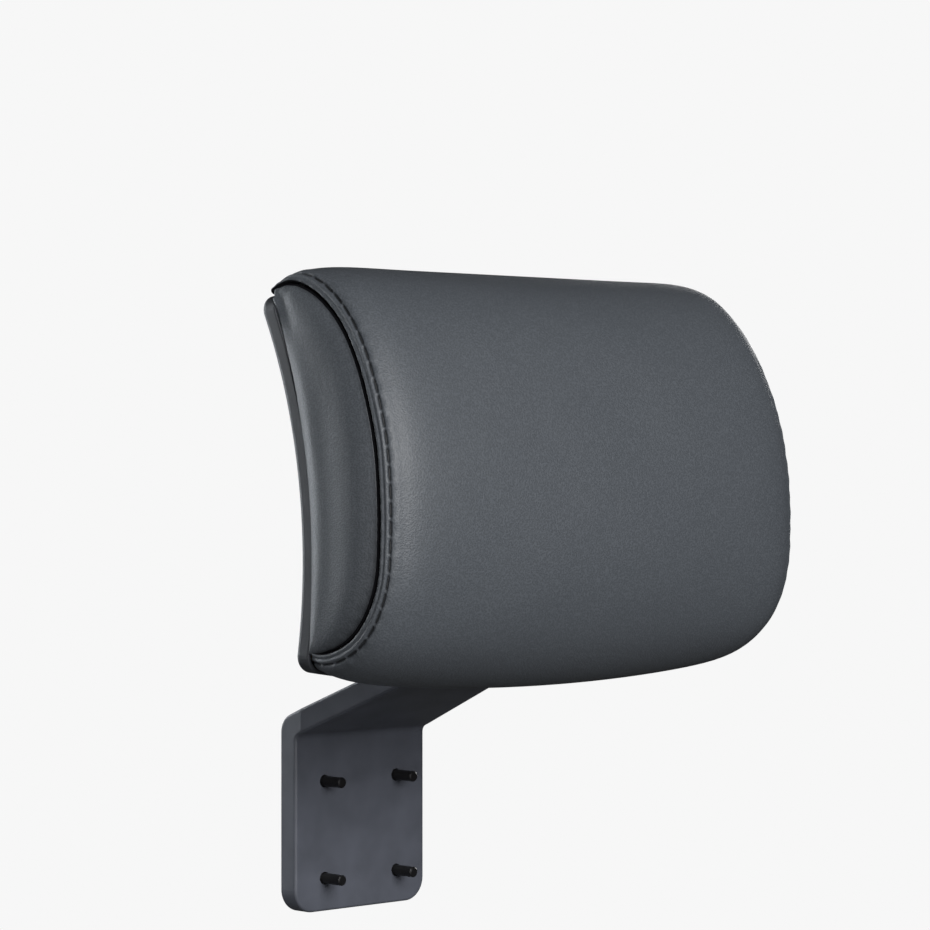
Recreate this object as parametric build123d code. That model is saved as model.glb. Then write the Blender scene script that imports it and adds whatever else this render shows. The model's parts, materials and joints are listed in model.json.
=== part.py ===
from build123d import *

import math
import os

# A chair headrest attachment: an upholstered pad in a moulded rear shell, on a friction tilt hinge, on a
# slider that climbs the notched stem of a cast arm, which bolts to the back of a chair.
#
# Millimetres. X is across the chair, -Y is the side the head rests on, +Z is up. Everything is drawn round
# the pad: y = 0, z = 0 is the lower back corner of its side panel. write() moves it so that the origin is
# the middle of the arm's four bolts, on the face that meets the chair.

# ---- where the chair's bolts are, seen from the pad's lower back corner
CHAIR_FACE_Y = 122.0
BOLT_CENTRE_Z = -100.0
BOLT_SPACING_X = 50.0
BOLT_SPACING_Z = 50.0

# ---- back of the pad: every layer follows a cylinder round one axis along X
BACK_AXIS_Y = 267.3
BACK_AXIS_Z = 45.0
R_FOAM_BACK = 269.25
R_FLANGE_FRONT = 269.2
R_COVER_BACK = 267.9
R_BOARD_FRONT = 268.2
R_BOARD_BACK = 263.2
R_HEM_FRONT = 263.15
R_HEM_BACK = 261.9
R_SHELL_IN = 260.9
R_SHELL_OUT = 258.5
R_RIM_FRONT = 267.8

# ---- pad
PAD_HALF = 140.0
LEATHER = 1.3
PAD_TOP_Z = 182.0
PAD_BOTTOM_SIDE_Z = -6.0
PAD_BOTTOM_MID_Z = -22.4
PAD_TOP_CORNER_R = 10.0
PAD_BOTTOM_CORNER_R = 12.0
CROWN_SIDE_Y = -53.0
CROWN_MID_Y = -61.0
# (y, z) from the top back edge over the front to the lower back edge, in the middle and at the side seam
MID_PROFILE = [
    (30.0, 171.0),
    (16.0, 181.5),
    (0.0, 181.5),
    (-20.0, 172.0),
    (-42.0, 145.0),
    (-56.5, 105.0),
    (-61.0, 64.0),
    (-57.0, 22.0),
    (-41.0, -7.0),
    (-17.0, -21.0),
    (9.0, -24.5),
]
SEAM_PROFILE = [
    (30.5, 168.0),
    (21.5, 176.0),
    (7.8, 176.5),
    (-8.8, 168.5),
    (-31.0, 141.0),
    (-46.4, 104.0),
    (-51.5, 66.0),
    (-47.6, 32.0),
    (-32.5, 11.0),
    (-12.0, 2.0),
    (2.0, -1.5),
]

# ---- outline of the shell and the board, seen from behind
OUTLINE_HALF_TOP = 142.0
OUTLINE_HALF_BOTTOM = 140.6
OUTLINE_TOP_Z = 168.0
OUTLINE_TOP_MID_Z = 169.5
OUTLINE_BOTTOM_Z = -8.0
OUTLINE_BOTTOM_MID_Z = -20.0
OUTLINE_CORNER_R = 9.0
SHELL_WALL = 2.4
SHELL_EDGE_R = 3.2
RIM_LIP_R = 0.8
BOARD_INSET = 4.6
HEM_WIDTH = 13.0
SHELL_SCREW_X = 108.0
SHELL_SCREW_Z = (14.0, 140.0)
SHELL_SCREW_R = 1.9
SHELL_BOSS_R = 5.0
SHELL_SEAT_R = 6.5

# ---- tilt hinge and its bracket
PLATFORM_HALF_X = 42.0
PLATFORM_Z = (0.0, 64.0)
PLATFORM_Y = 13.4
PIN_Y = 26.0
PIN_Z = 32.0
PIN_R = 4.0
PIN_THREAD_R = 3.0
PIN_HEAD_R = 7.0
BUSH_IN_R = 4.05
BUSH_OUT_R = 5.5
BUSH_LENGTH = 12.0
FLANGE_R = 8.0
FLANGE_T = 1.0
KNUCKLE_R = 8.5
KNUCKLE_HALF = 20.0
WASHER_T = 1.0
EAR_R = 9.0
EAR_T = 3.0
EAR_IN_X = KNUCKLE_HALF + FLANGE_T + WASHER_T
EAR_OUT_X = EAR_IN_X + EAR_T
BRACKET_T = 3.0
BRACKET_HALF_X = 37.0
BRACKET_Z = (6.0, 58.0)
BRACKET_SCREW_X = 30.5
BRACKET_SCREW_DZ = 18.0
BRACKET_SCREW_R = 2.5
BRACKET_HEAD_R = 4.5
BRACKET_HEAD_T = 2.8
TEE_NUT_R = 8.5
TEE_BARREL_R = 3.6
DISC_R = 6.5
DISC_T = 0.6
DISC_H = 1.3
NUT_FLATS = 10.0
NUT_T = 5.0
CAP_R = 9.3
CAP_WALL = 1.2
CAP_LENGTH = 13.0

# ---- slider
SLIDER_HALF_X = 32.5
SLIDER_Z = (6.0, 60.0)
SLIDER_FRONT_Y = 36.5
CHANNEL_Y = (40.2, 53.8)
CHANNEL_HALF_X = 25.8
CHANNEL_LIP = 2.0
CHANNEL_GAP = 0.6
COVER_BACK_Y = 58.4
LINER_LEG = 9.0
COVER_SCREW_X = 29.2
COVER_SCREW_Z = (14.0, 52.0)
COVER_SCREW_R = 1.5
COVER_HEAD_R = 2.9
COVER_HEAD_T = 2.1
TRAVEL = 50.0
NOTCH_PITCH = 10.0
NOTCH_R = 3.0
NOTCH_DEPTH = 1.2
SPRING_T = 0.6
SPRING_HALF_X = 6.0
SPRING_HALF_Z = 18.0

# ---- arm
STEM_Y = (42.0, 52.0)
STEM_HALF_X = 24.0
STEM_TOP_Z = 114.0
ARM_T = 12.0
ARM_FALL = 0.413
ARM_UNDER_Z = -17.9
ARM_OVER_Z = -8.9
SHOULDER_Z = 2.0
PLATE_BOTTOM_Z = -142.0
NECK_HALF_X = 37.0
PLATE_HALF_X = 45.0
PLATE_CORNER_R = 12.0
EDGE_R = 1.5
STEM_CAP_T = 4.0
STEM_CAP_OVER = 1.6
PLUG_HALF_X = 9.0
PLUG_DEPTH = 9.0
BOLT_R = 3.0
BOLT_THREAD_R = 2.75
BOLT_HOLE_R = 3.3
BOLT_WASHER_R = 7.0
BOLT_WASHER_T = 1.4
BOLT_HEAD_R = 5.5
BOLT_HEAD_T = 3.4
BOLT_STANDS_OUT = 14.0


def box(x, y, z):
    """A block between two corners, each pair in any order."""
    centre = Pos((x[0] + x[1]) / 2, (y[0] + y[1]) / 2, (z[0] + z[1]) / 2)
    return centre * Box(abs(x[1] - x[0]), abs(y[1] - y[0]), abs(z[1] - z[0]))


def rod_x(radius, x, y, z):
    """A cylinder along X."""
    return Pos((x[0] + x[1]) / 2, y, z) * Rot(0, 90, 0) * Cylinder(radius, abs(x[1] - x[0]))


def rod_y(radius, y, x, z):
    """A cylinder along Y."""
    return Pos(x, (y[0] + y[1]) / 2, z) * Rot(90, 0, 0) * Cylinder(radius, abs(y[1] - y[0]))


def ring_x(r_out, r_in, x, y, z):
    """A washer or tube along X."""
    return rod_x(r_out, x, y, z) - rod_x(r_in, (x[0] - 1, x[1] + 1), y, z)


def both_sides(shape):
    """The shape and its mirror image across the chair's middle."""
    return [shape, mirror(shape, about=Plane.YZ)]


def fused(shapes):
    """One shape out of several."""
    total = shapes[0]
    for shape in shapes[1:]:
        total = total + shape
    return total


def back_y(radius, z):
    """The y of a back layer's surface at height z."""
    return BACK_AXIS_Y - math.sqrt(radius**2 - (z - BACK_AXIS_Z) ** 2)


def on_back(shape, x, z, radius):
    """Turns a shape drawn at x = 0 and the axis height round the back axis to the point (x, z)."""
    angle = -math.degrees(math.asin((z - BACK_AXIS_Z) / radius))
    axis = Axis((0, BACK_AXIS_Y, BACK_AXIS_Z), (1, 0, 0))
    return Pos(x, 0, 0) * shape.rotate(axis, angle)


def write(name, shapes):
    """Writes one node; several solids stay separate solids of the node."""
    solids = []
    for shape in shapes if isinstance(shapes, list) else [shapes]:
        solids += shape.solids()
    moved = [Pos(0, -CHAIR_FACE_Y, -BOLT_CENTRE_Z) * solid for solid in solids]
    export_step(moved[0] if len(moved) == 1 else Compound(children=moved), f"parts/{name}.step")


# ------------------------------------------------------------------ pad
def offset_points(points, inset):
    """The points of an open profile moved inwards along its normals."""
    moved = []
    for i, (y, z) in enumerate(points):
        ya, za = points[max(i - 1, 0)]
        yb, zb = points[min(i + 1, len(points) - 1)]
        length = math.hypot(yb - ya, zb - za)
        moved.append((y - inset * (zb - za) / length, z + inset * (yb - ya) / length))
    return moved


def profile_prism(points, inset, x0, x1):
    """A profile closed well behind the pad, as a prism between two x."""
    moved = [Vector(x0, y, z) for y, z in offset_points(points, inset)]
    back = [Vector(x0, 60, moved[-1].Z), Vector(x0, 60, moved[0].Z)]
    edges = [Edge.make_spline(moved)]
    corners = [moved[-1], *back, moved[0]]
    edges += [Edge.make_line(a, b) for a, b in zip(corners, corners[1:])]
    return extrude(Face(Wire(edges)), x1 - x0, dir=(1, 0, 0))


def frame_outline(half_top, half_bottom, z_top, z_top_mid, z_low, z_low_mid, r_top, r_low, inset):
    """An outline seen from behind: straight sides, a bowed top and bottom, round corners."""
    half_top, half_bottom = half_top - inset, half_bottom - inset
    low = [(-half_bottom, z_low + inset), (0, z_low_mid + inset), (half_bottom, z_low + inset)]
    high = [(half_top, z_top - inset), (0, z_top_mid - inset), (-half_top, z_top - inset)]
    with BuildSketch(Plane.XZ) as sketch:
        with BuildLine():
            ThreePointArc(*low)
            Line(low[2], high[0])
            ThreePointArc(*high)
            Line(high[2], low[0])
        make_face()
        fillet(sketch.vertices().sort_by(Axis.Y)[:2], max(r_low - inset, 1.0))
        fillet(sketch.vertices().sort_by(Axis.Y)[-2:], max(r_top - inset, 1.0))
    return extrude(sketch.sketch, 80, both=True)


def pad_outline(inset):
    """The pad's outline seen from the front, as a prism along Y."""
    top = PAD_TOP_Z
    low = (PAD_BOTTOM_SIDE_Z, PAD_BOTTOM_MID_Z)
    radii = (PAD_TOP_CORNER_R, PAD_BOTTOM_CORNER_R)
    return frame_outline(PAD_HALF, PAD_HALF, top - 0.5, top, *low, *radii, inset)


def shell_outline(inset):
    """The rear shell's outline, as a prism along Y."""
    halves = (OUTLINE_HALF_TOP, OUTLINE_HALF_BOTTOM)
    high = (OUTLINE_TOP_Z, OUTLINE_TOP_MID_Z)
    low = (OUTLINE_BOTTOM_Z, OUTLINE_BOTTOM_MID_Z)
    return frame_outline(*halves, *high, *low, OUTLINE_CORNER_R, OUTLINE_CORNER_R, inset)


def crown(inset):
    """Everything behind the gently crowned front of the pad, as a prism along Z."""
    side = CROWN_SIDE_Y + inset
    with BuildSketch(Plane.XY) as sketch:
        with BuildLine():
            ThreePointArc((-150, side), (0, CROWN_MID_Y + inset), (150, side))
            Polyline((150, side), (150, 60), (-150, 60), (-150, side))
        make_face()
    return Pos(0, 0, -60) * extrude(sketch.sketch, 300)


def back_cylinder(radius):
    """The solid behind a back layer's front surface."""
    return rod_x(radius, (-160, 160), BACK_AXIS_Y, BACK_AXIS_Z)


def pad_block(inset, half, back_radius):
    """The pad, pulled in by inset on its front, top and bottom."""
    block = profile_prism(MID_PROFILE, inset, -half, half) & pad_outline(inset) & crown(inset)
    return block - back_cylinder(back_radius)


def layer(r_front, r_back, inset):
    """A curved sheet between two back radii, inside the shell's outline pulled in by inset."""
    sheet = ring_x(r_front, r_back, (-160, 160), BACK_AXIS_Y, BACK_AXIS_Z)
    return sheet & shell_outline(inset)


def wrap_ring(block):
    """The leather turned in behind the foam, round the board's edge and onto its back."""
    flange = (block & back_cylinder(R_FLANGE_FRONT)) - shell_outline(BOARD_INSET - 0.05)
    edge = layer(R_FLANGE_FRONT, R_HEM_BACK, BOARD_INSET - LEATHER) - shell_outline(BOARD_INSET - 0.05)
    hem = layer(R_HEM_FRONT, R_HEM_BACK, BOARD_INSET - LEATHER) - shell_outline(BOARD_INSET + HEM_WIDTH)
    return flange + edge + hem


def seam_outline():
    """The side panel's profile at the seam, as a thin prism on the +X side."""
    return profile_prism(SEAM_PROFILE, 0, PAD_HALF - LEATHER, PAD_HALF) & pad_outline(0)


def make_pad():
    """Cover, two side panels and foam."""
    outer = pad_block(0, PAD_HALF - LEATHER, R_COVER_BACK)
    inner = pad_block(LEATHER, PAD_HALF + 5, R_COVER_BACK - 20)
    wrap = wrap_ring(outer)
    split = PAD_HALF - OUTLINE_CORNER_R - HEM_WIDTH
    cover = (outer - inner) + (wrap & box((-split, split), (-80, 80), (-60, 220)))
    side = seam_outline() - back_cylinder(R_COVER_BACK)
    gusset = (side + (wrap & box((split, 150), (-80, 80), (-60, 220)))) - cover
    half = PAD_HALF - LEATHER - 0.05
    foam = (inner & box((-half, half), (-80, 80), (-60, 220))) - back_cylinder(R_BOARD_FRONT + 0.1)
    foam -= back_cylinder(R_FOAM_BACK) - shell_outline(BOARD_INSET)
    write("front_cover", cover)
    write("side_gusset_right", gusset)
    write("side_gusset_left", mirror(gusset, about=Plane.YZ))
    write("foam_core", foam)


# ------------------------------------------------------------------ board, shell and what holds them
def bracket_holes(radius, y):
    """Four rods along Y at the tilt bracket's screws."""
    places = [(x, PIN_Z + dz) for x in (-BRACKET_SCREW_X, BRACKET_SCREW_X)
              for dz in (-BRACKET_SCREW_DZ, BRACKET_SCREW_DZ)]
    return [rod_y(radius, y, x, z) for x, z in places]


def shell_screw_places():
    """The (x, z) of the four screws that hold the shell to the board."""
    return [(x, z) for x in (-SHELL_SCREW_X, SHELL_SCREW_X) for z in SHELL_SCREW_Z]


def at_shell_screws(radius, r_front, r_back):
    """Four short rods square to the back, between two back radii."""
    y = (BACK_AXIS_Y - r_front, BACK_AXIS_Y - r_back)
    rod = rod_y(radius, y, 0, BACK_AXIS_Z)
    return [on_back(rod, x, z, R_SHELL_OUT) for x, z in shell_screw_places()]


def tee_nut_seat(z):
    """The y of a tee nut's face: level with the board's front where the front lies deepest under it."""
    return max(back_y(R_BOARD_FRONT, z - TEE_NUT_R), back_y(R_BOARD_FRONT, z + TEE_NUT_R)) + 0.05


def at_tee_nuts(radius, front, back):
    """Four rods along Y from front to back of the tee nuts' seats."""
    places = [(x, PIN_Z + dz) for x in (-BRACKET_SCREW_X, BRACKET_SCREW_X)
              for dz in (-BRACKET_SCREW_DZ, BRACKET_SCREW_DZ)]
    return [rod_y(radius, (tee_nut_seat(z) + front, tee_nut_seat(z) + back), x, z) for x, z in places]


def make_board():
    """The curved plywood board, with pockets for the tee nuts and pilot holes for the shell's screws."""
    board = layer(R_BOARD_FRONT, R_BOARD_BACK, BOARD_INSET)
    board -= bracket_holes(TEE_BARREL_R + 0.02, (-20, 30))
    board -= at_tee_nuts(TEE_NUT_R + 0.1, -9, 1.25)
    board -= at_shell_screws(SHELL_SCREW_R - 0.3, R_BOARD_FRONT + 2, R_BOARD_BACK - 2)
    return board


def make_tee_nuts():
    """Flanged threaded inserts let into the front of the board."""
    flanges = at_tee_nuts(TEE_NUT_R, 0, 1.2)
    barrels = at_tee_nuts(TEE_BARREL_R, 1.0, 3.3)
    bores = bracket_holes(BRACKET_SCREW_R + 0.01, (-20, 30))
    return [flange + barrel - bore for flange, barrel, bore in zip(flanges, barrels, bores)]


def make_shell():
    """The moulded rear shell: curved back, rim, flat platform for the hinge, bosses and screw seats."""
    block = layer(R_RIM_FRONT, R_SHELL_OUT, 0)
    outer = [edge for edge in block.edges() if edge.center().Y > back_y(R_SHELL_OUT + 1.5, edge.center().Z)]
    block = fillet(outer, SHELL_EDGE_R)
    block -= layer(R_RIM_FRONT + 5, R_SHELL_IN, SHELL_WALL)
    lip = [edge for edge in block.edges() if edge.center().Y < back_y(R_RIM_FRONT - 1.5, edge.center().Z)]
    block = fillet(lip, RIM_LIP_R)
    platform = box((-PLATFORM_HALF_X, PLATFORM_HALF_X), (0, PLATFORM_Y), PLATFORM_Z)
    platform = fillet(platform.edges().filter_by(Axis.Y), 8)
    platform = chamfer(platform.faces().sort_by(Axis.Y)[-1].edges(), 1.2)
    block += platform & back_cylinder(R_BOARD_BACK - 0.05)
    bosses = at_shell_screws(SHELL_BOSS_R, R_BOARD_BACK - 0.15, R_SHELL_OUT + 1)
    seats = at_shell_screws(SHELL_SEAT_R, R_SHELL_IN, R_SHELL_OUT - 0.8)
    block += bosses + seats
    block -= at_shell_screws(SHELL_SCREW_R + 0.2, R_BOARD_FRONT, R_SHELL_OUT - 5)
    block -= bracket_holes(BRACKET_SCREW_R + 0.3, (-20, 30))
    return block


def make_shell_screws():
    """Pan-headed screws through the shell into the board, with cross recesses."""
    seat = BACK_AXIS_Y - R_SHELL_OUT + 0.85
    tip = BACK_AXIS_Y - R_BOARD_BACK - 4.3
    head = rod_y(4.2, (seat, seat + 2.4), 0, BACK_AXIS_Z)
    head = fillet(head.edges().sort_by(Axis.Y)[-1:], 1.0)
    screw = head + rod_y(SHELL_SCREW_R, (BACK_AXIS_Y - R_BOARD_BACK + 0.1, seat + 0.1), 0, BACK_AXIS_Z)
    screw += rod_y(SHELL_SCREW_R - 0.32, (tip, seat), 0, BACK_AXIS_Z)
    for half_x, half_z in ((2.2, 0.45), (0.45, 2.2)):
        slot_z = (BACK_AXIS_Z - half_z, BACK_AXIS_Z + half_z)
        screw -= box((-half_x, half_x), (seat + 1.2, seat + 5), slot_z)
    return [on_back(screw, x, z, R_SHELL_OUT) for x, z in shell_screw_places()]


def make_staples():
    """Wire staples that hold the turned-in leather to the back of the board."""
    def staple(long, wide):
        y = (BACK_AXIS_Y - R_HEM_BACK + 0.02, BACK_AXIS_Y - R_HEM_BACK + 0.72)
        deep = (BACK_AXIS_Y - R_BOARD_BACK - 2.5, y[1])
        crown_x, crown_z = (5.0, 0.35) if wide else (0.35, 5.0)
        crown_bar = box((-crown_x, crown_x), y, (BACK_AXIS_Z - crown_z, BACK_AXIS_Z + crown_z))
        legs = []
        for side in (-4.65, 4.65):
            x, z = (side, 0) if wide else (0, side)
            legs.append(box((x - 0.35, x + 0.35), deep, (BACK_AXIS_Z + z - 0.35, BACK_AXIS_Z + z + 0.35)))
        return fused([crown_bar, *legs])

    along_x = staple(5.0, True)
    along_z = staple(5.0, False)
    top, low = OUTLINE_TOP_Z - BOARD_INSET - 5, OUTLINE_BOTTOM_MID_Z + BOARD_INSET + 8
    made = [on_back(along_x, x, z, R_HEM_BACK) for z in (top, low) for x in (-85, -51, -17, 17, 51, 85)]
    side = OUTLINE_HALF_TOP - BOARD_INSET - 6
    made += [on_back(along_z, x, z, R_HEM_BACK) for x in (-side, side) for z in (32, 60, 88, 116)]
    return made


# ------------------------------------------------------------------ tilt hinge
def make_bracket():
    """The steel bracket: a plate on the shell's platform with two ears for the hinge pin."""
    y = (PLATFORM_Y, PLATFORM_Y + BRACKET_T)
    plate = box((-BRACKET_HALF_X, BRACKET_HALF_X), y, BRACKET_Z)
    plate = fillet(plate.edges().filter_by(Axis.Y), 7)
    plate -= bracket_holes(BRACKET_SCREW_R + 0.25, (0, 30))
    for x in ((EAR_IN_X, EAR_OUT_X), (-EAR_OUT_X, -EAR_IN_X)):
        ear = box(x, (y[0] + 1, PIN_Y), (PIN_Z - EAR_R, PIN_Z + EAR_R)) + rod_x(EAR_R, x, PIN_Y, PIN_Z)
        foot = box(x, (y[0] + 1, y[1] + 4), (PIN_Z - EAR_R - 5, PIN_Z + EAR_R + 5))
        foot = chamfer(foot.faces().sort_by(Axis.Y)[-1].edges().filter_by(Axis.X), 3.9)
        plate += ear + foot
    return plate - rod_x(PIN_R + 0.03, (-60, 60), PIN_Y, PIN_Z)


def make_bracket_screws():
    """Button-headed screws through the bracket, the shell and the board."""
    seat = PLATFORM_Y + BRACKET_T
    heads = bracket_holes(BRACKET_HEAD_R, (seat, seat + BRACKET_HEAD_T))
    shanks = bracket_holes(BRACKET_SCREW_R, (2.4, seat + 0.1))
    sockets = [extrude(Plane.XZ.offset(-seat - 1.3) * Pos(x, z) * RegularPolygon(1.75, 6), -5)
               for x in (-BRACKET_SCREW_X, BRACKET_SCREW_X)
               for z in (PIN_Z - BRACKET_SCREW_DZ, PIN_Z + BRACKET_SCREW_DZ)]
    screws = []
    for head, shank, socket in zip(heads, shanks, sockets):
        head = fillet(head.edges().sort_by(Axis.Y)[-1:], 1.8)
        screws.append(head + shank - socket)
    return screws


def make_pin():
    """The hinge pin: head, shank and threaded end."""
    head = rod_x(PIN_HEAD_R, (-EAR_OUT_X - 3, -EAR_OUT_X), PIN_Y, PIN_Z)
    shank = rod_x(PIN_R, (-EAR_OUT_X, EAR_OUT_X - 0.1), PIN_Y, PIN_Z)
    thread = rod_x(PIN_THREAD_R, (EAR_OUT_X - 0.1, EAR_OUT_X + 10.5), PIN_Y, PIN_Z)
    return chamfer((head + shank + thread).edges().sort_by(Axis.X)[-1:], 0.6)


def make_disc_springs():
    """Two coned spring washers set face to face, and the flat washer under them."""
    def cone(start, end):
        sign = 1 if end > start else -1
        with BuildSketch(Plane.XY) as sketch:
            with BuildLine():
                Polyline(
                    (PIN_THREAD_R + 0.1, DISC_H - DISC_T), (DISC_R, 0), (DISC_R, DISC_T),
                    (PIN_THREAD_R + 0.1, DISC_H), (PIN_THREAD_R + 0.1, DISC_H - DISC_T),
                )
            make_face()
        turned = revolve(Plane.XZ * sketch.sketch, Axis.Z)
        turned = turned if sign > 0 else mirror(turned, about=Plane.XY)
        return Pos(start, PIN_Y, PIN_Z) * Rot(0, 90, 0) * turned

    base = EAR_OUT_X + 1.02
    flat = ring_x(7.5, PIN_THREAD_R + 0.1, (EAR_OUT_X + 0.01, base - 0.01), PIN_Y, PIN_Z)
    return [flat, cone(base, base + 1), cone(base + 2 * DISC_H + 0.02, base)]


def make_nut():
    """The hexagonal lock nut that sets the hinge's friction."""
    start = EAR_OUT_X + 1.02 + 2 * DISC_H + 0.04
    hexagon = RegularPolygon(NUT_FLATS / 2, 6, major_radius=False)
    blank = extrude(Plane.YZ.offset(start) * Pos(PIN_Y, PIN_Z) * hexagon, NUT_T)
    blank &= rod_x(NUT_FLATS / 2 * 1.12, (start, start + NUT_T), PIN_Y, PIN_Z)
    return blank - rod_x(PIN_THREAD_R + 0.01, (start - 1, start + NUT_T + 1), PIN_Y, PIN_Z)


def make_end_cap():
    """A cup that snaps over the end of the pin."""
    x = (EAR_OUT_X + 0.02, EAR_OUT_X + CAP_LENGTH)
    cup = rod_x(CAP_R, x, PIN_Y, PIN_Z)
    cup = fillet(cup.edges().sort_by(Axis.X)[-1:], 2.5)
    return cup - rod_x(CAP_R - CAP_WALL, (x[0] - 1, x[1] - CAP_WALL), PIN_Y, PIN_Z)


def make_bush():
    """A flanged bush in one end of the slider's knuckle."""
    sleeve = rod_x(BUSH_OUT_R, (KNUCKLE_HALF - BUSH_LENGTH, KNUCKLE_HALF + FLANGE_T), PIN_Y, PIN_Z)
    flange = rod_x(FLANGE_R, (KNUCKLE_HALF + 0.01, KNUCKLE_HALF + FLANGE_T), PIN_Y, PIN_Z)
    return sleeve + flange - rod_x(BUSH_IN_R, (0, 40), PIN_Y, PIN_Z)


def make_friction_washer():
    """A friction washer between a bush and an ear."""
    x = (KNUCKLE_HALF + FLANGE_T + 0.02, EAR_IN_X - 0.02)
    return ring_x(EAR_R - 0.3, PIN_R + 0.1, x, PIN_Y, PIN_Z)


# ------------------------------------------------------------------ slider
def channel(extra):
    """The way through the slider for the stem and its liners."""
    lips = (SLIDER_Z[0] + CHANNEL_LIP, SLIDER_Z[1] - CHANNEL_LIP)
    wide = box((-CHANNEL_HALF_X, CHANNEL_HALF_X), CHANNEL_Y, lips)
    y = (STEM_Y[0] - CHANNEL_GAP, STEM_Y[1] + CHANNEL_GAP)
    half = STEM_HALF_X + CHANNEL_GAP
    return wide + box((-half, half), y, (SLIDER_Z[0] - extra, SLIDER_Z[1] + extra))


def make_slider_front():
    """The slider's moulded front: a channel round the stem and the hinge's knuckle."""
    block = box((-SLIDER_HALF_X, SLIDER_HALF_X), (SLIDER_FRONT_Y, CHANNEL_Y[1]), SLIDER_Z)
    block = fillet(block.edges().filter_by(Axis.Z).group_by(Axis.Y)[0], 3)
    block -= channel(5)
    web_z = (PIN_Z - KNUCKLE_R, PIN_Z + KNUCKLE_R)
    web = box((-KNUCKLE_HALF, KNUCKLE_HALF), (PIN_Y, SLIDER_FRONT_Y + 1), web_z)
    block += web + rod_x(KNUCKLE_R, (-KNUCKLE_HALF, KNUCKLE_HALF), PIN_Y, PIN_Z)
    block -= rod_x(BUSH_OUT_R + 0.01, (-40, 40), PIN_Y, PIN_Z)
    for x in (-COVER_SCREW_X, COVER_SCREW_X):
        for z in COVER_SCREW_Z:
            block -= rod_y(COVER_SCREW_R + 0.01, (CHANNEL_Y[1] - 9, 80), x, z)
    return block


def make_slider_cover():
    """The slider's rear cover, with the pocket for the detent spring and holes for its screws."""
    block = box((-SLIDER_HALF_X, SLIDER_HALF_X), (CHANNEL_Y[1], COVER_BACK_Y), SLIDER_Z)
    block = fillet(block.edges().filter_by(Axis.Y), 4)
    block = fillet(block.faces().sort_by(Axis.Y)[-1].edges(), 1.5)
    middle = sum(SLIDER_Z) / 2
    pocket = box((-7, 7), (CHANNEL_Y[1] - 1, CHANNEL_Y[1] + 1.6), (middle - 20, middle + 20))
    block -= pocket
    for x in (-COVER_SCREW_X, COVER_SCREW_X):
        for z in COVER_SCREW_Z:
            block -= rod_y(COVER_SCREW_R + 0.1, (50, 80), x, z)
            block -= rod_y(COVER_HEAD_R + 0.1, (COVER_BACK_Y - COVER_HEAD_T, 80), x, z)
    return block


def make_cover_screws():
    """Four small screws sunk in the slider's rear cover."""
    screws = []
    for x in (-COVER_SCREW_X, COVER_SCREW_X):
        for z in COVER_SCREW_Z:
            seat = COVER_BACK_Y - COVER_HEAD_T + 0.01
            head = rod_y(COVER_HEAD_R, (seat, COVER_BACK_Y - 0.2), x, z)
            socket = extrude(Plane.XZ.offset(-seat - 0.7) * Pos(x, z) * RegularPolygon(1.25, 6), -5)
            screws.append(head + rod_y(COVER_SCREW_R, (CHANNEL_Y[1] - 8, seat + 0.1), x, z) - socket)
    return screws


def make_liner():
    """A slippery C-shaped liner between the slider and one edge of the stem."""
    z = (SLIDER_Z[0] + CHANNEL_LIP + 0.05, SLIDER_Z[1] - CHANNEL_LIP - 0.05)
    outer_y = (CHANNEL_Y[0] + 0.05, CHANNEL_Y[1] - 0.05)
    outer = box((CHANNEL_HALF_X - LINER_LEG, CHANNEL_HALF_X - 0.05), outer_y, z)
    return outer - box((0, STEM_HALF_X + 0.05), (STEM_Y[0] - 0.05, STEM_Y[1] + 0.05), (0, 80))


def notch_heights():
    """The heights of the stem's notches: the spring's nose rests in one at each step of the travel."""
    middle = sum(SLIDER_Z) / 2
    return [middle + NOTCH_PITCH * step for step in range(round(TRAVEL / NOTCH_PITCH) + 1)]


def make_detent_spring():
    """A leaf spring whose rounded nose sits in the stem's notches."""
    middle = sum(SLIDER_Z) / 2
    centre_y = STEM_Y[1] + NOTCH_R - NOTCH_DEPTH
    y = (CHANNEL_Y[1] + 0.2, CHANNEL_Y[1] + 0.2 + SPRING_T)
    leaf = box((-SPRING_HALF_X, SPRING_HALF_X), y, (middle - SPRING_HALF_Z, middle + SPRING_HALF_Z))
    x = (-SPRING_HALF_X, SPRING_HALF_X)
    nose = rod_x(NOTCH_R - 0.1, x, centre_y, middle)
    nose -= rod_x(NOTCH_R - 0.1 - SPRING_T, (-9, 9), centre_y, middle)
    nose &= box(x, (0, y[1]), (0, 80))
    leaf -= rod_x(NOTCH_R - 0.1 - SPRING_T, (-9, 9), centre_y, middle)
    return leaf + nose


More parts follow.
